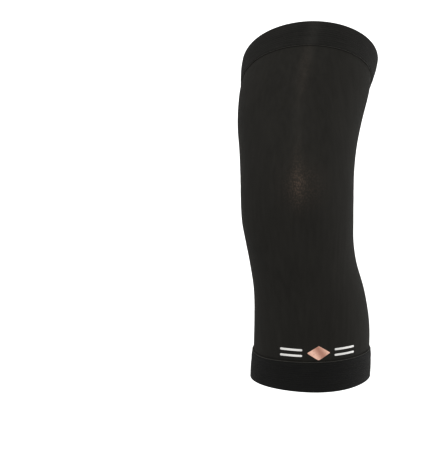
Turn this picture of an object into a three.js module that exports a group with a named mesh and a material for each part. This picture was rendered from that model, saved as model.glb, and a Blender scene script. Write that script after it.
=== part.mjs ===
// Knee sleeve in the shape that it takes on a slightly bent left leg.
//
// One knitted tube runs from the thigh to the calf. A band of doubled knit closes each end: it is folded over
// at the rim, and the tube's edge is tucked between its two layers. A small printed ornament of thin film
// lies on the shin, just above the lower band.
//
// Millimetres. +Z points up the leg, -Y to its front and +X to its outer side. The origin is the middle of
// the knee. "Along" is the distance from there along the leg's own axis, up the thigh or, negative, down the
// shin. "Around" is the angle about that axis, from the front towards the outer side. "Lift" is the distance
// outwards from the middle of the tube's wall.

import * as THREE from 'three';

// Lengths along the leg
const thighReach = 156.9; // knee to upper rim
const shinReach = 179.5; // knee to lower rim
const waistReach = 62; // knee to the slimmest place, under the kneecap
const upperBandHeight = 25.5; // rim to seam
const lowerBandHeight = 29;
const seamTuck = 5; // how far the tube's edge goes in between a band's layers

// Sizes across the leg, to the middle of the tube's wall
const upperWidth = 138.4; // at the upper rim
const upperFront = 76; // axis to front
const upperBack = 70; // axis to back
const upperAside = 16.8; // axis to the outer side of the knee's
const kneeWidth = 111.4;
const kneeFront = 61;
const kneeBack = 57;
const waistWidth = 105.8;
const waistFront = 58;
const waistBack = 58;
const waistAside = 6.1;
const lowerWidth = 119.4;
const lowerFront = 60;
const lowerBack = 62;
const lowerAside = 14.5;

// Angles of the leg, in degrees
const thighLean = 25; // backwards, going up
const shinLean = 10; // backwards, going down
const upperTilt = -0.5; // upper rim's outer end above level
const lowerTilt = 1.2; // lower rim's outer end above level
const bendReach = 60; // the knee bends over this length above and below the origin

// Knit
const tubeWall = 1;
const bandLayer = 0.7; // one layer of a band
const bandWall = 2.2; // both layers and what lies between them
const seamGap = 0.3; // clearance between the tube's edge and the band around it
const lipRound = 0.35; // rounding of a band's open edge

// Printed ornament
const filmWall = 0.3;
const filmGap = 0.3; // clearance between film and knit
const printAround = 3; // its middle, in degrees
const printClearance = 2.5; // between the lower band's seam and the lozenge
const lozengeWidth = 22;
const lozengeHeight = 14;
const barLength = 24;
const barHeight = 2.2;
const barSpacing = 5.6; // between the middles of a pair of bars
const barClearance = 5; // between the lozenge's point and the bars

// Fineness of the mesh
const aroundSteps = 48;
const tubeStep = 10; // longest step along the tube
const foldSteps = 6; // around the fold at a rim
const filmSteps = 4; // across each piece of film

const radians = THREE.MathUtils.degToRad;
const mix = THREE.MathUtils.lerp;
const printAlong = -shinReach + lowerBandHeight + printClearance + lozengeHeight / 2;

// The four named girths of the leg. Square is how boxy a section is: 2 is an ellipse.
const lowerRim = {
  along: -shinReach, width: lowerWidth, front: lowerFront, back: lowerBack, aside: lowerAside,
  tilt: lowerTilt, frontSquare: 1.88, backSquare: 2.15,
};
const waist = {
  along: -waistReach, width: waistWidth, front: waistFront, back: waistBack, aside: waistAside,
  tilt: 0, frontSquare: 1.95, backSquare: 2.3,
};
const knee = {
  along: 0, width: kneeWidth, front: kneeFront, back: kneeBack, aside: 0,
  tilt: 0, frontSquare: 2.25, backSquare: 2.4,
};
const upperRim = {
  along: thighReach, width: upperWidth, front: upperFront, back: upperBack, aside: upperAside,
  tilt: upperTilt, frontSquare: 1.98, backSquare: 2.15,
};

// The sections between two girths. Each column is a share of the way from the lower girth to the upper one.
const betweenGirths = [
  { lower: lowerRim, upper: waist, rows: [
    { along: 0.24, width: 0.22, front: 0.20, back: 0.00, aside: -0.12, tilt: 0.25, square: 0.2 },
    { along: 0.50, width: 0.38, front: 0.50, back: 0.05, aside: -0.10, tilt: 0.60, square: 0.5 },
    { along: 0.76, width: 0.71, front: 0.80, back: 0.40, aside: 0.26, tilt: 0.90, square: 0.8 },
  ] },
  { lower: waist, upper: knee, rows: [
    { along: 0.33, width: 0.15, front: 0.30, back: 0.10, aside: 0.60, tilt: 0.50, square: 0.4 },
    { along: 0.66, width: 0.75, front: 0.70, back: 0.60, aside: 0.93, tilt: 0.80, square: 0.8 },
  ] },
  { lower: knee, upper: upperRim, rows: [
    { along: 0.16, width: 0.05, front: 0.10, back: 0.14, aside: 0.02, tilt: 0.02, square: 0.2 },
    { along: 0.34, width: 0.21, front: 0.30, back: 0.32, aside: 0.10, tilt: 0.10, square: 0.4 },
    { along: 0.54, width: 0.51, front: 0.54, back: 0.54, aside: 0.25, tilt: 0.30, square: 0.6 },
    { along: 0.76, width: 0.77, front: 0.78, back: 0.78, aside: 0.58, tilt: 0.65, square: 0.8 },
  ] },
];

// Places that stand out from the smooth sections, or lie back from them where the rise is negative.
// Rise is a share of the knee's width, along and length are shares of the thigh's reach, angles are degrees.
const swells = [
  { place: 'kneecap', along: 0.03, around: -3, rise: 0.050, length: 0.20, breadth: 27 },
  { place: 'shin knob', along: -0.36, around: -6, rise: 0.020, length: 0.11, breadth: 16 },
  { place: 'inner thigh muscle', along: 0.52, around: -52, rise: 0.016, length: 0.24, breadth: 24 },
  { place: 'knee hollow', along: -0.04, around: 180, rise: -0.035, length: 0.22, breadth: 34 },
  { place: 'grip of the upper seam', along: 0.85, around: -90, rise: -0.012, length: 0.07, breadth: 400 },
];

// Places where a rim and its band sit lower, or higher, than square to the leg. Rise is a share of the
// upper band's height, angles are degrees.
const shifts = [
  { place: 'inner end of the upper rim', along: 1, around: -100, rise: -0.10, length: 0.5, breadth: 32 },
  { place: 'outer end of the upper seam', along: 0.84, around: 78, rise: 0.12, length: 0.12, breadth: 38 },
  { place: 'inner end of the lower seam', along: -0.96, around: -70, rise: -0.09, length: 0.10, breadth: 36 },
  { place: 'outer front of the lower rim', along: -1.15, around: 26, rise: -0.06, length: 0.10, breadth: 38 },
];

function allSections() {
  const columns = ['along', 'width', 'front', 'back', 'aside', 'tilt'];
  const sections = [lowerRim];
  for (const { lower, upper, rows } of betweenGirths) {
    for (const row of rows) {
      const section = {};
      for (const column of columns) section[column] = mix(lower[column], upper[column], row[column]);
      section.frontSquare = mix(lower.frontSquare, upper.frontSquare, row.square);
      section.backSquare = mix(lower.backSquare, upper.backSquare, row.square);
      sections.push(section);
    }
    sections.push(upper);
  }
  return sections;
}

const sections = allSections();

// The value of one column at any place along the leg, on a smooth curve through the sections.
function valueAt(column, along) {
  const slope = (from, to) => (to[column] - from[column]) / (to.along - from.along);
  const last = sections.length - 1;
  const above = sections.findIndex((section) => section.along > along);
  const next = THREE.MathUtils.clamp(above < 0 ? last : above, 1, last);
  const lower = sections[next - 1];
  const upper = sections[next];
  const lowerSlope = slope(sections[Math.max(next - 2, 0)], upper);
  const upperSlope = slope(lower, sections[Math.min(next + 1, last)]);
  const step = upper.along - lower.along;
  const share = (along - lower.along) / step;
  const rest = 1 - share;
  return rest * rest * (1 + 2 * share) * lower[column] + share * share * (3 - 2 * share) * upper[column]
    + share * rest * step * (rest * lowerSlope - share * upperSlope);
}

// The sum of a table's rises at a place, each fading out over its length and breadth.
function riseAt(table, along, around) {
  let total = 0;
  for (const row of table) {
    const turn = around - radians(row.around);
    const aside = Math.atan2(Math.sin(turn), Math.cos(turn)) / radians(row.breadth);
    const away = (along / thighReach - row.along) / row.length;
    total += row.rise * Math.exp(-aside * aside - away * away);
  }
  return total;
}

// How far the leg leans back at a place along it, in radians.
function leanAt(along) {
  const turn = THREE.MathUtils.clamp(along / bendReach, -1, 1);
  return radians((thighLean - shinLean) / 2 + turn * (thighLean + shinLean) / 2);
}

// The leg's axis, seen from the side: straight along shin and thigh, with an arc through the knee.
function axisAt(along) {
  const inBend = THREE.MathUtils.clamp(along, -bendReach, bendReach);
  const bendRadius = 2 * bendReach / radians(thighLean + shinLean);
  const straight = along - inBend;
  const lean = leanAt(along);
  return new THREE.Vector3(
    valueAt('aside', along),
    bendRadius * (Math.cos(leanAt(0)) - Math.cos(lean)) + straight * Math.sin(lean),
    bendRadius * (Math.sin(lean) - Math.sin(leanAt(0))) + straight * Math.cos(lean),
  );
}

// A point of the tube's middle surface.
function surfacePoint(place, around) {
  const along = place + upperBandHeight * riseAt(shifts, place, around);
  const across = Math.sin(around);
  const ahead = Math.cos(around);
  const depth = valueAt(ahead > 0 ? 'front' : 'back', along);
  const square = valueAt(ahead > 0 ? 'frontSquare' : 'backSquare', along);
  const halfWidth = valueAt('width', along) / 2;
  const fullness = Math.abs(across / halfWidth) ** square + Math.abs(ahead / depth) ** square;
  const reach = fullness ** (-1 / square) + kneeWidth * riseAt(swells, place, around);
  const tilt = radians(valueAt('tilt', along));
  const lean = leanAt(along);
  const outwards = new THREE.Vector3(Math.cos(tilt), 0, Math.sin(tilt));
  const forwards = new THREE.Vector3(0, -Math.cos(lean), Math.sin(lean));
  return axisAt(along).addScaledVector(outwards, reach * across).addScaledVector(forwards, reach * ahead);
}

function liftedPoint(along, around, lift) {
  const stepAlong = 1;
  const stepAround = 0.02;
  const up = surfacePoint(along + stepAlong, around).sub(surfacePoint(along - stepAlong, around));
  const round = surfacePoint(along, around + stepAround).sub(surfacePoint(along, around - stepAround));
  const normal = round.cross(up).normalize();
  return surfacePoint(along, around).addScaledVector(normal, lift);
}

function closedMesh(name, vertices, triangles, material) {
  const geometry = new THREE.BufferGeometry();
  geometry.setAttribute('position', new THREE.Float32BufferAttribute(vertices.flatMap((v) => v.toArray()), 3));
  geometry.setIndex(triangles);
  geometry.computeVertexNormals();
  const mesh = new THREE.Mesh(geometry, material);
  mesh.name = name;
  return mesh;
}

// Carries a closed profile of { along, lift } points once round the leg. The profile runs up the outside
// and down the inside.
function ringOfKnit(name, profile, material) {
  const vertices = [];
  for (const { along, lift } of profile) {
    for (let step = 0; step < aroundSteps; step += 1) {
      vertices.push(liftedPoint(along, 2 * Math.PI * step / aroundSteps, lift));
    }
  }
  const triangles = [];
  for (let row = 0; row < profile.length; row += 1) {
    const nextRow = (row + 1) % profile.length;
    for (let step = 0; step < aroundSteps; step += 1) {
      const nextStep = (step + 1) % aroundSteps;
      const corners = [[row, step], [row, nextStep], [nextRow, nextStep], [nextRow, step]];
      const [a, b, c, d] = corners.map(([r, s]) => r * aroundSteps + s);
      triangles.push(a, b, c, a, c, d);
    }
  }
  return closedMesh(name, vertices, triangles, material);
}

function knitTube(material) {
  const bottom = lowerRim.along + lowerBandHeight - seamTuck + seamGap;
  const top = upperRim.along - upperBandHeight + seamTuck - seamGap;
  const steps = Math.ceil((top - bottom) / tubeStep);
  const outside = [];
  for (let step = 0; step <= steps; step += 1) {
    outside.push({ along: mix(bottom, top, step / steps), lift: tubeWall / 2 });
  }
  const inside = outside.map(({ along, lift }) => ({ along, lift: -lift })).reverse();
  return ringOfKnit('knit_tube', [...outside, ...inside], material);
}

// Half of a band's profile, from the slot for the tube's edge out to the lip and down to the rim's fold,
// as distances from the rim.
function bandSide(bandHeight) {
  const slot = tubeWall / 2 + seamGap;
  const lip = slot + bandLayer;
  const fold = bandWall / 2;
  const slotEnd = bandHeight - seamTuck;
  const side = [
    { fromRim: slotEnd, lift: slot },
    { fromRim: bandHeight, lift: slot },
    { fromRim: bandHeight, lift: lip - lipRound },
    { fromRim: bandHeight - lipRound, lift: lip },
    { fromRim: slotEnd, lift: lip },
    { fromRim: slotEnd - seamTuck, lift: fold },
    { fromRim: (slotEnd - seamTuck + fold) / 2, lift: fold },
  ];
  for (let step = 0; step < foldSteps / 2; step += 1) {
    const turn = Math.PI * step / foldSteps;
    side.push({ fromRim: fold * (1 - Math.sin(turn)), lift: fold * Math.cos(turn) });
  }
  return side;
}

function band(name, rim, inwards, bandHeight, material) {
  const outside = bandSide(bandHeight);
  const inside = outside.map(({ fromRim, lift }) => ({ fromRim, lift: -lift })).reverse();
  const profile = [...outside, { fromRim: 0, lift: 0 }, ...inside];
  const placed = profile.map(({ fromRim, lift }) => ({ along: rim.along + inwards * fromRim, lift }));
  if (inwards < 0) placed.reverse();
  return ringOfKnit(name, placed.reverse(), material);
}

// A thin plate over four corners, given as { across, up } in millimetres over the knit from the print's
// middle, anticlockwise as seen from outside.
function film(name, corners, material) {
  const bottom = tubeWall / 2 + filmGap;
  const girth = valueAt('front', printAlong);
  const place = (p, q, lift) => {
    const lower = new THREE.Vector2().lerpVectors(corners[0], corners[1], p);
    const upper = new THREE.Vector2().lerpVectors(corners[3], corners[2], p);
    const spot = lower.lerp(upper, q);
    return liftedPoint(printAlong + spot.y, radians(printAround) + spot.x / girth, lift);
  };
  const side = filmSteps + 1;
  const vertices = [];
  for (const lift of [bottom, bottom + filmWall]) {
    for (let row = 0; row < side; row += 1) {
      for (let column = 0; column < side; column += 1) {
        vertices.push(place(column / filmSteps, row / filmSteps, lift));
      }
    }
  }
  const at = (level, row, column) => level * side * side + row * side + column;
  const triangles = [];
  const quad = (a, b, c, d) => triangles.push(a, b, c, a, c, d);
  for (let row = 0; row < filmSteps; row += 1) {
    for (let column = 0; column < filmSteps; column += 1) {
      quad(at(1, row, column), at(1, row, column + 1), at(1, row + 1, column + 1), at(1, row + 1, column));
      quad(at(0, row, column), at(0, row + 1, column), at(0, row + 1, column + 1), at(0, row, column + 1));
    }
  }
  for (let step = 0; step < filmSteps; step += 1) {
    const end = filmSteps;
    quad(at(0, 0, step), at(0, 0, step + 1), at(1, 0, step + 1), at(1, 0, step));
    quad(at(0, step, end), at(0, step + 1, end), at(1, step + 1, end), at(1, step, end));
    quad(at(0, end, step + 1), at(0, end, step), at(1, end, step), at(1, end, step + 1));
    quad(at(0, step + 1, 0), at(0, step, 0), at(1, step, 0), at(1, step + 1, 0));
  }
  return closedMesh(name, vertices, triangles, material);
}

function lozenge(material) {
  const x = lozengeWidth / 2;
  const y = lozengeHeight / 2;
  const corners = [[0, -y], [x, 0], [0, y], [-x, 0]].map(([a, b]) => new THREE.Vector2(a, b));
  return film('print_lozenge', corners, material);
}

function bar(name, side, level, material) {
  const near = lozengeWidth / 2 + barClearance;
  const left = side > 0 ? near : -near - barLength;
  const right = left + barLength;
  const bottom = level * barSpacing / 2 - barHeight / 2;
  const top = bottom + barHeight;
  const corners = [[left, bottom], [right, bottom], [right, top], [left, top]];
  return film(name, corners.map(([a, b]) => new THREE.Vector2(a, b)), material);
}

function surface(name, color, roughness, metalness) {
  return new THREE.MeshStandardMaterial({ name, color, roughness, metalness });
}

const tubeKnit = surface('tube knit', 0x282725, 0.85, 0);
const bandKnit = surface('band knit', 0x1b1b1a, 0.8, 0);
const copperFilm = surface('copper film', 0xc98d6e, 0.4, 0.3);
const whiteFilm = surface('white film', 0xe4e2de, 0.5, 0);

const sleeve = new THREE.Group();
sleeve.add(knitTube(tubeKnit));
sleeve.add(band('upper_band', upperRim, -1, upperBandHeight, bandKnit));
sleeve.add(band('lower_band', lowerRim, 1, lowerBandHeight, bandKnit));
sleeve.add(lozenge(copperFilm));
sleeve.add(bar('print_bar_inner_upper', -1, 1, whiteFilm));
sleeve.add(bar('print_bar_inner_lower', -1, -1, whiteFilm));
sleeve.add(bar('print_bar_outer_upper', 1, 1, whiteFilm));
sleeve.add(bar('print_bar_outer_lower', 1, -1, whiteFilm));

export default sleeve;
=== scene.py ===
# Knee sleeve in the shape that it takes on a slightly bent left leg: a finely knitted tube, a
# folded band of doubled knit at each end, and a small printed ornament on the shin.
# The dictionaries hold millimetres and degrees, as the part's own source does, and the camera, the
# studio and the flat sizes are in metres. +Z is up the leg, -Y its front and +X its outer side.
# "Along" is the distance from the knee along the leg's axis, "around" the angle about it from the
# front, and "lift" the distance out from the middle of the tube's wall.
import bpy
import numpy as np
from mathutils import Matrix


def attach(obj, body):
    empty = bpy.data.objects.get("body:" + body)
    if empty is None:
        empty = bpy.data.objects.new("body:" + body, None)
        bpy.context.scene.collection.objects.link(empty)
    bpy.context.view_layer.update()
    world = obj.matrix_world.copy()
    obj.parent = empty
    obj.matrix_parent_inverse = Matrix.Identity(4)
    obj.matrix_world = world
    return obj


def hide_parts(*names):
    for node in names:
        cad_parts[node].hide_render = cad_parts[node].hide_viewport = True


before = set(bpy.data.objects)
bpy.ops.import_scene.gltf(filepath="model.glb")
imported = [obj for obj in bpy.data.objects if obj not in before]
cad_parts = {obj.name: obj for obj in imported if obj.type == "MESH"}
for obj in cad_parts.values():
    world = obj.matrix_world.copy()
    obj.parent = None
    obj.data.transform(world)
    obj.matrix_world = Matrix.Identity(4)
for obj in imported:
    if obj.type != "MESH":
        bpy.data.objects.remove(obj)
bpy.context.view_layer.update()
mm = 0.001
print("frame loaded")

# the leg, with the sizes of the part's own source
leg = {
    "thighReach": 156.9,  # knee to upper rim
    "shinReach": 179.5,  # knee to lower rim
    "kneeWidth": 111.4,
    "thighLean": 25, "shinLean": 10,  # backwards, going up and going down
    "bendReach": 60,  # the bend runs this far up and down
    "upperBandHeight": 25.5, "lowerBandHeight": 29,
    "seamTuck": 5,  # how far the tube's edge goes into a band
    "tubeWall": 1, "bandLayer": 0.7, "bandWall": 2.2,
    "seamGap": 0.3,  # between the tube's edge and the band
}
lowerSeam = leg["lowerBandHeight"] - leg["shinReach"]
upperSeam = leg["thighReach"] - leg["upperBandHeight"]

# square is how boxy a section is: 2 is an ellipse
sectionColumns = ("along", "width", "front", "back", "aside", "tilt", "frontSquare", "backSquare")
girths = {
    "lowerRim": (-leg["shinReach"], 119.4, 60, 62, 14.5, 1.2, 1.88, 2.15),
    "waist": (-62, 105.8, 58, 58, 6.1, 0, 1.95, 2.3),
    "knee": (0, leg["kneeWidth"], 61, 57, 0, 0, 2.25, 2.4),
    "upperRim": (leg["thighReach"], 138.4, 76, 70, 16.8, -0.5, 1.98, 2.15),
}

# shares of the way from one girth to the next, in the order of the columns
sectionShares = (
    ("lowerRim", "waist", (0.24, 0.22, 0.20, 0.00, -0.12, 0.25, 0.2, 0.2)),
    ("lowerRim", "waist", (0.50, 0.38, 0.50, 0.05, -0.10, 0.60, 0.5, 0.5)),
    ("lowerRim", "waist", (0.76, 0.71, 0.80, 0.40, 0.26, 0.90, 0.8, 0.8)),
    ("waist", "knee", (0.33, 0.15, 0.30, 0.10, 0.60, 0.50, 0.4, 0.4)),
    ("waist", "knee", (0.66, 0.75, 0.70, 0.60, 0.93, 0.80, 0.8, 0.8)),
    ("knee", "upperRim", (0.16, 0.05, 0.10, 0.14, 0.02, 0.02, 0.2, 0.2)),
    ("knee", "upperRim", (0.34, 0.21, 0.30, 0.32, 0.10, 0.10, 0.4, 0.4)),
    ("knee", "upperRim", (0.54, 0.51, 0.54, 0.54, 0.25, 0.30, 0.6, 0.6)),
    ("knee", "upperRim", (0.76, 0.77, 0.78, 0.78, 0.58, 0.65, 0.8, 0.8)),
)

# rise is a share of the knee's width, along and length are shares of the thigh's reach
swells = (
    # kneecap, shin knob and inner thigh muscle
    {"along": 0.03, "around": -3, "rise": 0.050, "length": 0.20, "breadth": 27},
    {"along": -0.36, "around": -6, "rise": 0.020, "length": 0.11, "breadth": 16},
    {"along": 0.52, "around": -52, "rise": 0.016, "length": 0.24, "breadth": 24},
    # hollow behind the knee, and the grip of the upper seam, which goes all round
    {"along": -0.04, "around": 180, "rise": -0.035, "length": 0.22, "breadth": 34},
    {"along": 0.85, "around": -90, "rise": -0.012, "length": 0.07, "breadth": 400},
)
# the same, but rise is a share of the upper band's height
rimShifts = (
    # inner end of the upper rim and outer end of the upper seam
    {"along": 1, "around": -100, "rise": -0.10, "length": 0.5, "breadth": 32},
    {"along": 0.84, "around": 78, "rise": 0.12, "length": 0.12, "breadth": 38},
    # inner end of the lower seam and outer front of the lower rim
    {"along": -0.96, "around": -70, "rise": -0.09, "length": 0.10, "breadth": 36},
    {"along": -1.15, "around": 26, "rise": -0.06, "length": 0.10, "breadth": 38},
)
probe = {"along": 1, "around": 0.02}  # how far to each side a slope is taken, in mm and radians


def allSections():
    ends = {name: np.array(values, float) for name, values in girths.items()}
    between = [ends[low] + (ends[high] - ends[low]) * np.array(share)
               for low, high, share in sectionShares]
    rows = np.array(sorted([*ends.values(), *between], key=lambda row: row[0]))
    return dict(zip(sectionColumns, rows.T))


sections = allSections()


def valueAt(column, along):
    # a smooth curve through the sections' values
    places, values = sections["along"], sections[column]
    slopes = np.empty_like(values)
    slopes[1:-1] = (values[2:] - values[:-2]) / (places[2:] - places[:-2])
    slopes[0] = (values[1] - values[0]) / (places[1] - places[0])
    slopes[-1] = (values[-1] - values[-2]) / (places[-1] - places[-2])
    upper = np.clip(np.searchsorted(places, along, side="right"), 1, len(places) - 1)
    lower = upper - 1
    step = places[upper] - places[lower]
    share = (along - places[lower]) / step
    rest = 1 - share
    ends = rest**2 * (1 + 2 * share) * values[lower] + share**2 * (3 - 2 * share) * values[upper]
    return ends + share * rest * step * (rest * slopes[lower] - share * slopes[upper])


def turnFrom(around, degrees):
    # the angle from a place given in degrees, the short way round
    return (around - np.radians(degrees) + np.pi) % (2 * np.pi) - np.pi


def riseAt(table, along, around):
    total = 0
    for row in table:
        aside = turnFrom(around, row["around"]) / np.radians(row["breadth"])
        away = (along / leg["thighReach"] - row["along"]) / row["length"]
        total = total + row["rise"] * np.exp(-(aside**2) - away**2)
    return total


def leanAt(along):
    turn = np.clip(along / leg["bendReach"], -1, 1)
    both = leg["thighLean"] + leg["shinLean"]
    return np.radians((leg["thighLean"] - leg["shinLean"] + turn * both) / 2)


def axisAt(along):
    inBend = np.clip(along, -leg["bendReach"], leg["bendReach"])
    bendRadius = 2 * leg["bendReach"] / np.radians(leg["thighLean"] + leg["shinLean"])
    straight, lean, middle = along - inBend, leanAt(along), leanAt(0)
    back = bendRadius * (np.cos(middle) - np.cos(lean)) + straight * np.sin(lean)
    up = bendRadius * (np.sin(lean) - np.sin(middle)) + straight * np.cos(lean)
    return np.stack([valueAt("aside", along), back, up], -1)


def surfaceAt(place, around):
    # a point of the tube's middle surface
    place, around = np.broadcast_arrays(np.asarray(place, float), around)
    along = place + leg["upperBandHeight"] * riseAt(rimShifts, place, around)
    across, ahead = np.sin(around), np.cos(around)
    isFront = ahead > 0
    depth = np.where(isFront, valueAt("front", along), valueAt("back", along))
    square = np.where(isFront, valueAt("frontSquare", along), valueAt("backSquare", along))
    halfWidth = valueAt("width", along) / 2
    fullness = np.abs(across / halfWidth) ** square + np.abs(ahead / depth) ** square
    reach = fullness ** (-1 / square) + leg["kneeWidth"] * riseAt(swells, place, around)
    tilt, lean, none = np.radians(valueAt("tilt", along)), leanAt(along), np.zeros_like(along)
    outwards = np.stack([np.cos(tilt), none, np.sin(tilt)], -1)
    forwards = np.stack([none, -np.cos(lean), np.sin(lean)], -1)
    sideReach, frontReach = (reach * across)[..., None], (reach * ahead)[..., None]
    return axisAt(along) + sideReach * outwards + frontReach * forwards


def liftedAt(along, around, lift):
    # in metres, pushed out of the tube's middle surface along its normal
    up = surfaceAt(along + probe["along"], around) - surfaceAt(along - probe["along"], around)
    across = surfaceAt(along, around + probe["around"]) - surfaceAt(along, around - probe["around"])
    normal = np.cross(across, up)
    normal /= np.linalg.norm(normal, axis=-1, keepdims=True)
    return (surfaceAt(along, around) + np.asarray(lift)[..., None] * normal) * mm


# a socket of a shader node, with arithmetic
class Wire:
    def __init__(self, board, socket):
        self.board = board
        self.socket = socket

    def __add__(self, other):
        return self.board.maths("ADD", self, other)

    def __radd__(self, other):
        return self.board.maths("ADD", other, self)

    def __sub__(self, other):
        return self.board.maths("SUBTRACT", self, other)

    def __rsub__(self, other):
        return self.board.maths("SUBTRACT", other, self)

    def __mul__(self, other):
        return self.board.maths("MULTIPLY", self, other)

    def __rmul__(self, other):
        return self.board.maths("MULTIPLY", other, self)

    def __truediv__(self, other):
        return self.board.maths("DIVIDE", self, other)

    def fraction(self):
        return self.board.maths("FRACT", self)

    def size(self):
        return self.board.maths("ABSOLUTE", self)

    def wave(self):
        # 1 at every whole number and -1 half-way between
        return self.board.maths("COSINE", self * (2 * np.pi))

    def bell(self, middle, width):
        # 1 at the middle, fading out over the width
        away = (self - middle) / width
        return self.board.maths("EXPONENT", away * away * -1)

    def risesFrom(self, low, high):
        # 0 up to low and 1 from high, smoothly
        sockets = {"Value": self, "From Min": low, "From Max": high}
        return self.board.node("MapRange", {"interpolation_type": "SMOOTHSTEP"}, sockets)


# the nodes of one material
class Board:
    def __init__(self, name):
        self.material = bpy.data.materials.new(name)
        self.material.use_nodes = True
        self.tree = self.material.node_tree
        self.tree.nodes.clear()

    def node(self, kind, settings, sockets, output=0):
        made = self.tree.nodes.new("ShaderNode" + kind)
        for name, value in settings.items():
            setattr(made, name, value)
        for name, value in sockets.items():
            if isinstance(value, Wire):
                self.tree.links.new(value.socket, made.inputs[name])
            else:
                made.inputs[name].default_value = value
        return Wire(self, made.outputs[output]) if made.outputs else None

    def maths(self, operation, *values):
        return self.node("Math", {"operation": operation}, dict(enumerate(values)))

    def mixed(self, factor, first, second, how="MIX"):
        # 6, 7 and 2 are the colour sockets of a Mix node
        colours = {0: factor, 6: first, 7: second}
        return self.node("Mix", {"data_type": "RGBA", "blend_type": how}, colours, output=2)

    def legPlace(self):
        # around in degrees and along in millimetres, from the piece's own map
        spot = self.node("UVMap", {"uv_map": "legMap"}, {})
        turn = self.node("SeparateXYZ", {}, {"Vector": spot}, output="X")
        height = self.node("SeparateXYZ", {}, {"Vector": spot}, output="Y")
        return (turn - 0.5) * 360, height / mm

    def noise(self, scale, stretch, detail=2):
        # stretch makes the blotches longer up and down
        place = self.node("TexCoord", {}, {}, output="Object")
        scales = {"Vector": place, "Scale": (scale, scale, scale / stretch)}
        scaled = self.node("Mapping", {}, scales)
        return self.node("TexNoise", {}, {"Vector": scaled, "Scale": 1, "Detail": detail})

    def bumps(self, look, height):
        relief = {"Height": height, "Distance": look["relief"] * mm, "Strength": look["bumpiness"]}
        return self.node("Bump", {}, relief)

    def surface(self, values):
        shader = self.node("BsdfPrincipled", {}, values)
        self.node("OutputMaterial", {}, {"Surface": shader})
        return self.material


# the knit: columns of loops, called wales, run along the leg and rows of them, called courses,
# round it, with a groove between one wale and the next
tubeLook = {
    "colour": (0.0224, 0.0215, 0.0194, 1), "roughness": 0.8, "shine": 0.08,
    "wales": 440, "course": 0.8,
    "loopSlant": 0.45,  # how many courses a loop's sides go up
    "waleHeight": 0.7, "loopHeight": 0.25,  # shares of the relief
    "relief": 0.16, "bumpiness": 0.8,
    # grooveShade paints shade into the grooves between the wales, and loopShade paints each loop
    # lighter on its crest and darker between the loops
    "grooveShade": 0.5, "loopShade": 0.12, "grooveRoughness": 0.08,
    "streaks": 0.18, "streakScale": 260, "streakStretch": 11,  # how far the tone wanders
    "blotches": 0.10, "blotchScale": 45, "blotchStretch": 2.5,
    "sheenLineLight": 0.15,  # of the painted sheen line down the thigh's front
}
insideLook = {
    **tubeLook, "colour": (0.027, 0.024, 0.021, 1), "course": 0.5, "relief": 0.22,
    "grooveShade": 0.25,
}
lowerBandLook = {
    **tubeLook, "colour": (0.0102, 0.0101, 0.0096, 1), "shine": 0.15, "wales": 380, "course": 0.9,
    "relief": 0.14, "grooveShade": 0.4, "streaks": 0.10,
    # how far the tone wanders from course to course, round the leg and along it
    "rings": 0.22, "ringsAround": 0.06, "ringsAlong": 0.55, "ringSlice": 0.3,
}
# the upper band has a stronger painted sheen line
upperBandLook = {**lowerBandLook, "colour": (0.0150, 0.0145, 0.0132, 1), "sheenLineLight": 0.38}

# the painted sheen line down the thigh's front
thighSheenLine = {
    "around": -3.6, "breadth": 4.5,
    "drift": 4.5, "driftFrom": 50, "driftTo": 160,  # outwards, going up the thigh
    "lightFrom": -15, "lightTo": 40,  # the painted sheen fades in from the knee upwards
}

# where the knit is drawn thin and lighter: partly the stretched knit's own colour, partly a painted
# highlight
thinAndHighlightLook = {
    "colour": (0.061, 0.048, 0.039, 1),
    "even": 0.45,  # what shows between the specks
    "specks": 1.3, "speckScale": 680, "speckStretch": 1.2, "speckFrom": 0.42, "speckTo": 0.66,
}
thinAndHighlightSpots = (
    # the ridge of the kneecap, with a painted highlight, and the knit above it
    {"around": -2.5, "breadth": 5, "along": 4, "length": 14, "strength": 0.38},
    {"around": -2.5, "breadth": 4.5, "along": 30, "length": 16, "strength": 0.06},
    # a painted highlight on the front of the thigh, and the kneecap from side to side
    {"around": -1.2, "breadth": 4.5, "along": 104, "length": 30, "strength": 0.14},
    {"around": 2, "breadth": 17, "along": 3, "length": 15, "strength": 0.22},
)


def loopsAt(look, around, along):
    # how far it is from a wale's middle, the loops' wave, which gives their painted light and
    # shade, and their height
    fromMiddle = ((around * (look["wales"] / 360)).fraction() - 0.5).size() * 2
    loops = (along / look["course"] + fromMiddle * look["loopSlant"]).wave()
    height = (1 - fromMiddle * fromMiddle) * look["waleHeight"] + loops * look["loopHeight"]
    return fromMiddle, loops, height


def knitTone(board, look, around, along, fromMiddle, loops):
    # the colour's tone wanders at random, and has painted shade and light that follow the knit's
    # relief
    streaks = board.noise(look["streakScale"], look["streakStretch"]) - 0.5
    blotches = board.noise(look["blotchScale"], look["blotchStretch"]) - 0.5
    tone = streaks * (2 * look["streaks"]) + blotches * (2 * look["blotches"]) + 1
    # painted shade in the grooves between the wales and painted light on the loops' crests
    groove = fromMiddle * fromMiddle * look["grooveShade"]
    tone = tone * (1 - groove) * (1 + loops * look["loopShade"])
    # a painted sheen line down the thigh's front
    drift = along.risesFrom(thighSheenLine["driftFrom"], thighSheenLine["driftTo"]) * thighSheenLine["drift"]
    line = around.bell(drift + thighSheenLine["around"], thighSheenLine["breadth"])
    line = line * along.risesFrom(thighSheenLine["lightFrom"], thighSheenLine["lightTo"])
    tone = tone * (line * look["sheenLineLight"] + 1)
    if "rings" not in look:
        return tone
    ringPlace = {"X": around * look["ringsAround"], "Y": along * look["ringsAlong"],
                 "Z": look["ringSlice"]}
    spot = board.node("CombineXYZ", {}, ringPlace)
    rings = board.node("TexNoise", {}, {"Vector": spot, "Scale": 1, "Detail": 2})
    return tone * ((rings - 0.5) * (2 * look["rings"]) + 1)


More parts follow.
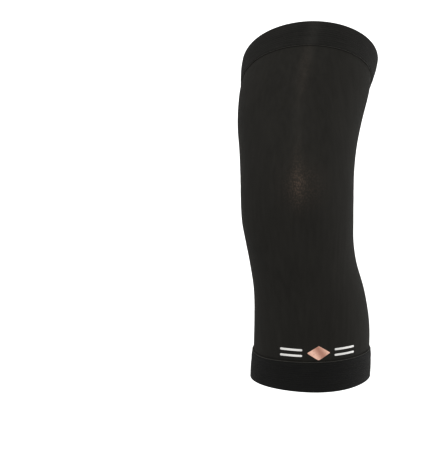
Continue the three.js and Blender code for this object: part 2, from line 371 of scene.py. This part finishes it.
def thinAndHighlightThread(board, around, along):
    # the colour of the tube's thread, which is lighter and browner where the knit is drawn thin and
    # where a highlight is painted
    thinAndHighlight = 0
    for spot in thinAndHighlightSpots:
        bell = around.bell(spot["around"], spot["breadth"])
        thinAndHighlight = bell * along.bell(spot["along"], spot["length"]) * spot["strength"] + thinAndHighlight
    specks = board.noise(thinAndHighlightLook["speckScale"], thinAndHighlightLook["speckStretch"])
    specks = specks.risesFrom(thinAndHighlightLook["speckFrom"], thinAndHighlightLook["speckTo"]) * thinAndHighlightLook["specks"]
    return board.mixed(thinAndHighlight * (specks + thinAndHighlightLook["even"]), tubeLook["colour"], thinAndHighlightLook["colour"])


def knitMaterial(name, look, isThinAndHighlit=False):
    board = Board(name)
    around, along = board.legPlace()
    fromMiddle, loops, height = loopsAt(look, around, along)
    tone = knitTone(board, look, around, along, fromMiddle, loops)
    thread = thinAndHighlightThread(board, around, along) if isThinAndHighlit else look["colour"]
    return board.surface({
        "Base Color": board.mixed(1, thread, tone, "MULTIPLY"),
        "Roughness": fromMiddle * look["grooveRoughness"] + look["roughness"],
        "Normal": board.bumps(look, height), "Specular IOR Level": look["shine"],
    })


threadLook = {
    "colour": (0.038, 0.037, 0.033, 1), "roughness": 0.6, "shine": 0.25,
    "twists": 1400, "twistSlant": 0.8,
    "relief": 0.08, "bumpiness": 0.6,
    "light": 0.9, "twistLight": 0.2, "twistSmoothness": 0.05,
}


def threadMaterial():
    board = Board("seamThread")
    around, along = board.legPlace()
    twist = around * (threadLook["twists"] / 360) + along * threadLook["twistSlant"]
    twist = twist.wave()
    # each twist is painted lighter on its crest and darker in its hollow: painted highlight and
    # shade
    tone = twist * threadLook["twistLight"] + threadLook["light"]
    return board.surface({
        "Base Color": board.mixed(1, threadLook["colour"], tone, "MULTIPLY"),
        "Roughness": threadLook["roughness"] - twist * threadLook["twistSmoothness"],
        "Normal": board.bumps(threadLook, twist), "Specular IOR Level": threadLook["shine"],
    })


# printed film: a slanting run from shade to light and back, partly the print's gradient, partly a
# painted reflection as on foil
filmLook = {
    "relief": 0.08, "bumpiness": 0.6, "shadeSlant": 0.7,
    "wear": 0.5, "wearScale": 900, "wearStretch": 1.5, "wearDetail": 4,
    "wearFrom": 0.52, "wearTo": 0.8,
    "grooveDarkening": 0.12, "wearRoughness": 0.25,
}
copperLook = {
    **filmLook, "metal": 0.5, "roughness": 0.42, "shadeEvery": 17,
    "light": (0.47, 0.31, 0.25, 1), "shade": (0.255, 0.140, 0.105, 1),
    "wornAndDarkened": (0.17, 0.10, 0.08, 1),
}
whiteLook = {
    **filmLook, "metal": 0, "roughness": 0.5, "shadeEvery": 30,
    "light": (0.40, 0.395, 0.385, 1), "shade": (0.36, 0.356, 0.347, 1),
    "wornAndDarkened": (0.25, 0.245, 0.235, 1),
}


def filmMaterial(name, look):
    # follows the loops under it, has worn a little and is darker towards the grooves between the
    # wales
    board = Board(name)
    around, along = board.legPlace()
    fromMiddle, _, height = loopsAt(tubeLook, around, along)
    wornAndDarkened = board.noise(look["wearScale"], look["wearStretch"], look["wearDetail"])
    wornAndDarkened = wornAndDarkened.risesFrom(look["wearFrom"], look["wearTo"]) * look["wear"]
    # darker towards the grooves between the wales
    wornAndDarkened = wornAndDarkened + fromMiddle * fromMiddle * look["grooveDarkening"]
    # partly the print's gradient and partly a painted reflection, running along a slant
    slant = ((around + along * look["shadeSlant"]) / look["shadeEvery"]).wave()
    gradientAndReflection = board.mixed(slant * 0.5 + 0.5, look["shade"], look["light"])
    return board.surface({
        "Base Color": board.mixed(wornAndDarkened, gradientAndReflection, look["wornAndDarkened"]), "Metallic": look["metal"],
        "Roughness": wornAndDarkened * look["wearRoughness"] + look["roughness"],
        "Normal": board.bumps(look, height),
    })


materials = {
    "tube": knitMaterial("tubeKnit", tubeLook, isThinAndHighlit=True),
    "inside": knitMaterial("insideKnit", insideLook),
    "upperBand": knitMaterial("upperBandKnit", upperBandLook),
    "lowerBand": knitMaterial("lowerBandKnit", lowerBandLook),
    "thread": threadMaterial(),
    "copper": filmMaterial("copperFilm", copperLook),
    "white": filmMaterial("whiteFilm", whiteLook),
}
print("materials made")


def addPiece(name, points, faces, faceMaterials, used, node=None):
    # used names the piece's materials, and faceMaterials has the place of each face's in it
    mesh = bpy.data.meshes.new(name)
    mesh.from_pydata(points.reshape(-1, 3).tolist(), [], faces.tolist())
    for key in used:
        mesh.materials.append(materials[key])
    mesh.polygons.foreach_set("material_index", faceMaterials)
    mesh.polygons.foreach_set("use_smooth", [True] * len(faces))
    piece = bpy.data.objects.new(name, mesh)
    bpy.context.collection.objects.link(piece)
    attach(piece, "root")
    if node:
        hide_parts(node)
    return piece


def addMap(piece, name, places):
    # places has the map's two values for every corner of every face
    layer = piece.data.uv_layers.new(name=name)
    layer.uv.foreach_set("vector", places.astype(np.float32).ravel())


def ringPlaces(turn, low, high):
    # a map's values at the corners of a ring's faces, whose rows run from low to high
    heights = np.stack([low, low, high, high], -1)[:, None]
    return np.stack([turn, np.broadcast_to(heights, turn.shape)], -1)


def addRing(name, along, lift, used, node=None, insideRows=0):
    # a closed profile carried once round the leg, with a row for each of its points, up the
    # outside first. The last insideRows of them have the second material
    rows, steps = lift.shape
    along = np.broadcast_to(along, lift.shape)
    points = liftedAt(along, np.linspace(-np.pi, np.pi, steps, endpoint=False), lift)
    index = np.arange(rows * steps).reshape(rows, steps)
    beside = np.roll(index, -1, 1)
    corners = [index, beside, np.roll(beside, -1, 0), np.roll(index, -1, 0)]
    faces = np.stack(corners, -1).reshape(-1, 4)
    isInside = np.repeat(np.arange(rows) >= rows - insideRows, steps)
    piece = addPiece(name, points, faces, isInside.astype(int), used, node)
    step = np.arange(steps)
    turn = np.stack([step, step + 1, step + 1, step], -1) / steps
    turn = np.broadcast_to(turn, (rows, steps, 4))
    height = along[:, 0] * mm
    addMap(piece, "legMap", ringPlaces(turn, height, np.roll(height, -1)))
    pace = np.linalg.norm(np.roll(points, -1, 0) - points, axis=-1).mean(1)
    run = np.concatenate([[0], np.cumsum(pace)]) / pace.sum()
    addMap(piece, "OFBake", ringPlaces(turn, run[:-1], run[1:]))
    return piece


tube = {
    "steps": 264,  # round the leg
    "rowStep": 2.3, "bendStep": 1.2, "bendReach": 42,  # along the leg, and this near the bend
    "fineStep": 0.4, "fineReach": 7,  # near a seam
    "tuckStart": 0.6,  # the tucked edge's first row, from the seam
    "insideEvery": 3,  # the inside has fewer rows away from the bend
    # the channel beside each seam
    "lowerGroove": 0.50, "upperGroove": 0.30, "grooveAt": 1.1, "grooveWidth": 0.8,
    "insideGroove": 0.4,  # the share of its depth that shows inside
    # how the seam draws the tube in, from the seam on and in full from this far away
    "drawIn": 0.3, "drawReach": 9, "drawStart": 2,
}

# soft folds behind the bent knee
creases = (
    {"along": 27, "around": 168, "depth": 0.8, "length": 5.2, "breadth": 34, "slant": 5, "bow": 4},
    {"along": 14, "around": 186, "depth": 1.4, "length": 4.8, "breadth": 46, "slant": -4, "bow": 6},
    {"along": 1, "around": 176, "depth": 1.8, "length": 4.8, "breadth": 52, "slant": 3, "bow": 3},
    {"along": -11, "around": 190, "depth": 1.5, "length": 4.6, "breadth": 44, "slant": 5,
     "bow": -3},
    {"along": -24, "around": 170, "depth": 0.95, "length": 5.2, "breadth": 38, "slant": -5,
     "bow": -6},
    {"along": 8, "around": 128, "depth": 0.6, "length": 5.5, "breadth": 22, "slant": 8, "bow": 0},
    {"along": -6, "around": -130, "depth": 0.65, "length": 5.5, "breadth": 24, "slant": -8,
     "bow": 0},
)


def creaseAt(along, around):
    # each fold is a valley between two ridges
    total = np.zeros(np.broadcast(along, around).shape)
    for row in creases:
        turn = turnFrom(around, row["around"]) / np.radians(row["breadth"])
        line = row["along"] + row["slant"] * turn + row["bow"] * turn**2
        away = (along - line) / row["length"]
        total += row["depth"] * (2 * away**2 - 1) * np.exp(-(away**2) - turn**2)
    return total


def tubeRelief(along, around, grooveShare):
    # what the seams and the bend do to the knit
    fromSeam = np.minimum(along - lowerSeam, upperSeam - along)
    depth = np.where(along < 0, tube["lowerGroove"], tube["upperGroove"]) * grooveShare
    groove = depth * np.exp(-(((fromSeam - tube["grooveAt"]) / tube["grooveWidth"]) ** 2))
    drawn = tube["drawIn"] * np.exp(-((fromSeam / tube["drawReach"]) ** 2))
    return creaseAt(along, around) - groove - drawn * np.clip(fromSeam / tube["drawStart"], 0, 1)


def tubeRows():
    # where the rows lie, up the outside and then down the inside
    tuck = leg["seamTuck"] - leg["seamGap"]
    tucked = np.array([tuck, tuck / 2, tube["tuckStart"]])
    fine = np.arange(0, tube["fineReach"], tube["fineStep"])
    bend = tube["bendReach"]
    places = (lowerSeam + tube["fineReach"], -bend, bend, upperSeam - tube["fineReach"])
    paces = (tube["rowStep"], tube["bendStep"], tube["rowStep"])
    middle = [np.linspace(start, end, round((end - start) / pace), endpoint=False)
              for start, end, pace in zip(places, places[1:], paces)]
    outside = np.concatenate([lowerSeam - tucked, lowerSeam + fine, *middle, places[-1:],
                              upperSeam - fine[::-1], upperSeam + tucked[::-1]])
    kept = (np.arange(len(outside)) % tube["insideEvery"] == 0) | (np.abs(outside) < bend)
    kept[-1] = True
    return outside, outside[kept][::-1]


def buildTube():
    outside, inside = tubeRows()
    along = np.concatenate([outside, inside])[:, None]
    around = np.linspace(-np.pi, np.pi, tube["steps"], endpoint=False)
    isOutside = (np.arange(len(along)) < len(outside))[:, None]
    relief = tubeRelief(along, around, np.where(isOutside, 1, tube["insideGroove"]))
    lift = np.where(isOutside, 1, -1) * leg["tubeWall"] / 2 + relief
    used = ("tube", "inside")
    return addRing("tubeKnit", along, lift, used, "knit_tube", len(inside))


band = {
    "steps": 264,  # round the leg
    "ribPitch": 2.1, "ribDepth": 0.16, "rowsPerRib": 5,
    "ribFade": 0.3,  # the lower, the more suddenly the ribs start and end
    "plump": 0.55,  # how far the doubled knit swells between seam and rim
    "shoulderFrom": 2.2,  # it starts to rise over the tube's edge this many tucks from its end
    "rimRows": 5, "lipRows": 6,
    "layerGap": 0.25,  # half the space between the layers, away from the tube's edge
    "gapRun": 3,  # it narrows over this length
    "gapEnd": 1.5,  # and ends this many radii from the rim
}


def bandProfile(height):
    # half of the folded knit as (from the rim, lift), from the fold up the outside and back
    # between the layers
    slot = leg["tubeWall"] / 2 + leg["seamGap"]
    lip = slot + leg["bandLayer"]
    rimRadius, lipRadius = leg["bandWall"] / 2, leg["bandLayer"] / 2
    turns = np.linspace(0, np.pi / 2, band["rimRows"], endpoint=False)
    rim = np.stack([rimRadius * (1 - np.cos(turns)), rimRadius * np.sin(turns)], -1)
    faceEnd = height - lipRadius
    count = round((faceEnd - rimRadius) / band["ribPitch"] * band["rowsPerRib"])
    place = np.linspace(rimRadius, faceEnd, count)
    share = (place - rimRadius) / (faceEnd - rimRadius)
    hump = np.sin(np.pi * share)
    shoulderStart = height - band["shoulderFrom"] * leg["seamTuck"]
    shoulder = np.clip((place - shoulderStart) / leg["seamTuck"], 0, 1)
    base = rimRadius + (lip - rimRadius) * shoulder**2 * (3 - 2 * shoulder)
    ribs = np.cos(2 * np.pi * (height - place) / band["ribPitch"]) * hump ** band["ribFade"]
    face = np.stack([place, base + band["plump"] * hump + band["ribDepth"] * (ribs - 1)], -1)
    turns = np.linspace(np.pi / 2, -np.pi / 2, band["lipRows"] + 1)[1:]
    end = np.stack([np.cos(turns), np.sin(turns)], -1) * lipRadius + [faceEnd, slot + lipRadius]
    slotEnd = height - leg["seamTuck"]
    between = [[slotEnd, slot], [slotEnd - band["gapRun"], band["layerGap"]],
               [rimRadius * band["gapEnd"], band["layerGap"]]]
    return np.concatenate([rim, face, end, between])


def buildBand(name, node, rimAlong, inwards, height, used):
    # inwards is 1 where the band goes up from its rim and -1 where it goes down
    outside = bandProfile(height)
    inside = outside[:0:-1] * [1, -1]
    profile = np.concatenate([outside, inside])[::inwards]
    along = (rimAlong + inwards * profile[:, 0])[:, None]
    lift = np.repeat(profile[:, 1:], band["steps"], 1)
    return addRing(name, along, lift, used, node)


stitches = {
    "count": 176, "stepsEach": 8, "sides": 8,
    "radius": 0.3, "swell": 0.11,  # the thread is thicker in the middle of a stitch
    "fromSeam": 0.3, "lift": 0.66,
}


def buildStitches(name, seam, away):
    # a chain of small slanted stitches along the seam
    steps = stitches["count"] * stitches["stepsEach"]
    around = np.linspace(-np.pi, np.pi, steps, endpoint=False)
    sides = np.arange(stitches["sides"])[:, None] / stitches["sides"]
    beat = np.abs(np.sin(around * stitches["count"] / 2 + sides * np.pi))
    radius = stitches["radius"] + stitches["swell"] * beat
    along = seam + away * stitches["fromSeam"] - radius * np.cos(2 * np.pi * sides)
    lift = stitches["lift"] + radius * np.sin(2 * np.pi * sides)
    return addRing(name, along, lift, ("thread",))


ornament = {
    "around": 3,  # its middle
    "clearance": 2.5,  # between the lower seam and the lozenge
    "lozengeWidth": 22, "lozengeHeight": 14, "cornerSoftness": 0.06,
    "barLength": 24, "barHeight": 2.2, "barSpacing": 5.6, "barClearance": 5,
    "barCut": 0.97,  # where a bar's rounded end is cut off, as a share of its radius
    "thickness": 0.22, "edge": 0.35,  # the edge's share of the thickness
    "crownUp": 8, "crownAcross": 24,  # the higher, the narrower the thinned edge
    "sunk": 0.15, "columns": 56, "rows": 10,
}


def gridFaces(grid):
    corners = [grid[:-1, :-1], grid[:-1, 1:], grid[1:, 1:], grid[1:, :-1]]
    return np.stack(corners, -1).reshape(-1, 4)


def addFilm(name, middle, length, halfHeight, used, node):
    # a thin plate on the knit. halfHeight gives the half height at each share of its length
    centre = lowerSeam + ornament["clearance"] + ornament["lozengeHeight"] / 2
    radius = float(valueAt("front", np.array(centre)))
    columns, rows = ornament["columns"] + 1, ornament["rows"] + 1
    across = np.sin(np.linspace(-np.pi / 2, np.pi / 2, columns))[None, :]
    up = np.sin(np.linspace(-np.pi / 2, np.pi / 2, rows))[:, None]
    across, up = np.broadcast_arrays(across, up)
    aside = middle[0] + length / 2 * across
    rise = middle[1] + halfHeight(np.abs(across)) * up
    around, along = np.radians(ornament["around"]) + aside / radius, centre + rise
    knitLift = leg["tubeWall"] / 2
    crown = 1 - np.abs(up) ** ornament["crownUp"]
    crown = crown * (1 - np.abs(across) ** ornament["crownAcross"])
    top = knitLift + ornament["thickness"] * (ornament["edge"] + (1 - ornament["edge"]) * crown)
    bottom = np.full_like(top, knitLift - ornament["sunk"])
    points = np.stack([liftedAt(along, around, lift) for lift in (top, bottom)])
    index = np.arange(2 * rows * columns).reshape(2, rows, columns)
    walls = [index[::-1, 0, :], index[:, -1, :], index[:, :, 0], index[::-1, :, -1]]
    faces = np.concatenate([gridFaces(index[0]), gridFaces(index[1])[:, ::-1],
                            *[gridFaces(wall) for wall in walls]])
    piece = addPiece(name, points, faces, np.zeros(len(faces), int), used, node)
    spots = np.stack([around / (2 * np.pi) + 0.5, along * mm], -1)
    spots = np.concatenate([spots, spots]).reshape(-1, 2)
    addMap(piece, "legMap", spots[faces.ravel()])
    return piece


def lozengeHalf(share):
    soft = ornament["cornerSoftness"]
    return ornament["lozengeHeight"] / 2 * (1 + soft - np.sqrt(share**2 + soft**2))


def barHalf(share):
    # a bar with rounded ends
    length, height = ornament["barLength"] / 2, ornament["barHeight"] / 2
    intoEnd = np.clip((share * length - (length - height)) / height, 0, ornament["barCut"])
    return height * np.sqrt(1 - intoEnd**2)


def buildOrnament():
    films = [addFilm("lozengePrint", (0, 0), ornament["lozengeWidth"], lozengeHalf, ("copper",),
                     "print_lozenge")]
    near = ornament["lozengeWidth"] / 2 + ornament["barClearance"] + ornament["barLength"] / 2
    for sideName, side in (("inner", -1), ("outer", 1)):
        for levelName, level in (("upper", 1), ("lower", -1)):
            name = f"{sideName}{levelName.title()}BarPrint"
            node = f"print_bar_{sideName}_{levelName}"
            middle = (side * near, level * ornament["barSpacing"] / 2)
            films.append(addFilm(name, middle, ornament["barLength"], barHalf, ("white",),
                                 node))
    return films


tubePiece = buildTube()
print("tube made")
upperBand = buildBand("upperBandKnit", "upper_band", leg["thighReach"], -1,
                      leg["upperBandHeight"], ("upperBand",))
lowerBand = buildBand("lowerBandKnit", "lower_band", -leg["shinReach"], 1,
                      leg["lowerBandHeight"], ("lowerBand",))
upperStitches = buildStitches("upperSeamStitches", upperSeam, -1)
lowerStitches = buildStitches("lowerSeamStitches", lowerSeam, 1)
print("bands and seams made")
films = buildOrnament()
print("ornament made")

# the camera stands where the photograph was taken from, and looks along +Y
view = {"place": (-0.083, -1.5, -0.035), "focalPixels": 1500, "imageHeight": 470, "sensor": 36}
cameraData = bpy.data.cameras.new("camera")
cameraData.sensor_width = view["sensor"]
cameraData.lens = view["sensor"] * view["focalPixels"] / view["imageHeight"]
camera = bpy.data.objects.new("camera", cameraData)
camera.location = view["place"]
camera.rotation_euler = (np.pi / 2, 0, 0)
bpy.context.collection.objects.link(camera)
bpy.context.scene.camera = camera

studio = {
    "floorHeight": -0.46, "floorSize": 14,
    "floorColour": (0.86, 0.86, 0.86, 1), "floorRoughness": 0.9, "floorShine": 0.1,
    "skyColour": (1, 1, 1, 1), "skyStrength": 1.0,
}
lamps = (
    {"name": "keyLamp", "place": (0.1, -1.4, 1.8), "size": 1.2, "power": 32},
    {"name": "rightLamp", "place": (1.4, 0.5, -0.3), "size": 0.8, "power": 11},
    {"name": "leftLamp", "place": (-1.6, 0.3, 0.4), "size": 0.9, "power": 4},
)


def buildFloor():
    half, height = studio["floorSize"] / 2, studio["floorHeight"]
    corners = ((-half, -half), (half, -half), (half, half), (-half, half))
    mesh = bpy.data.meshes.new("floor")
    mesh.from_pydata([(x, y, height) for x, y in corners], [], [(0, 1, 2, 3)])
    floor = bpy.data.objects.new("floor", mesh)
    paint = {"Base Color": studio["floorColour"], "Roughness": studio["floorRoughness"],
             "Specular IOR Level": studio["floorShine"]}
    mesh.materials.append(Board("floorPaint").surface(paint))
    bpy.context.collection.objects.link(floor)


def buildLight():
    # a bright sky, and lamps that face the origin
    world = bpy.data.worlds.new("studio")
    world.use_nodes = True
    sky = world.node_tree.nodes["Background"].inputs
    sky["Color"].default_value = studio["skyColour"]
    sky["Strength"].default_value = studio["skyStrength"]
    bpy.context.scene.world = world
    for lamp in lamps:
        data = bpy.data.lights.new(lamp["name"], "AREA")
        data.shape, data.size, data.energy = "DISK", lamp["size"], lamp["power"]
        light = bpy.data.objects.new(lamp["name"], data)
        light.location = lamp["place"]
        towards = -light.location
        light.rotation_euler = towards.to_track_quat("-Z", "Y").to_euler()
        bpy.context.collection.objects.link(light)


buildFloor()
buildLight()
bpy.context.scene.view_settings.view_transform = "Standard"
bpy.context.scene.view_settings.look = "High Contrast"
print("studio made")
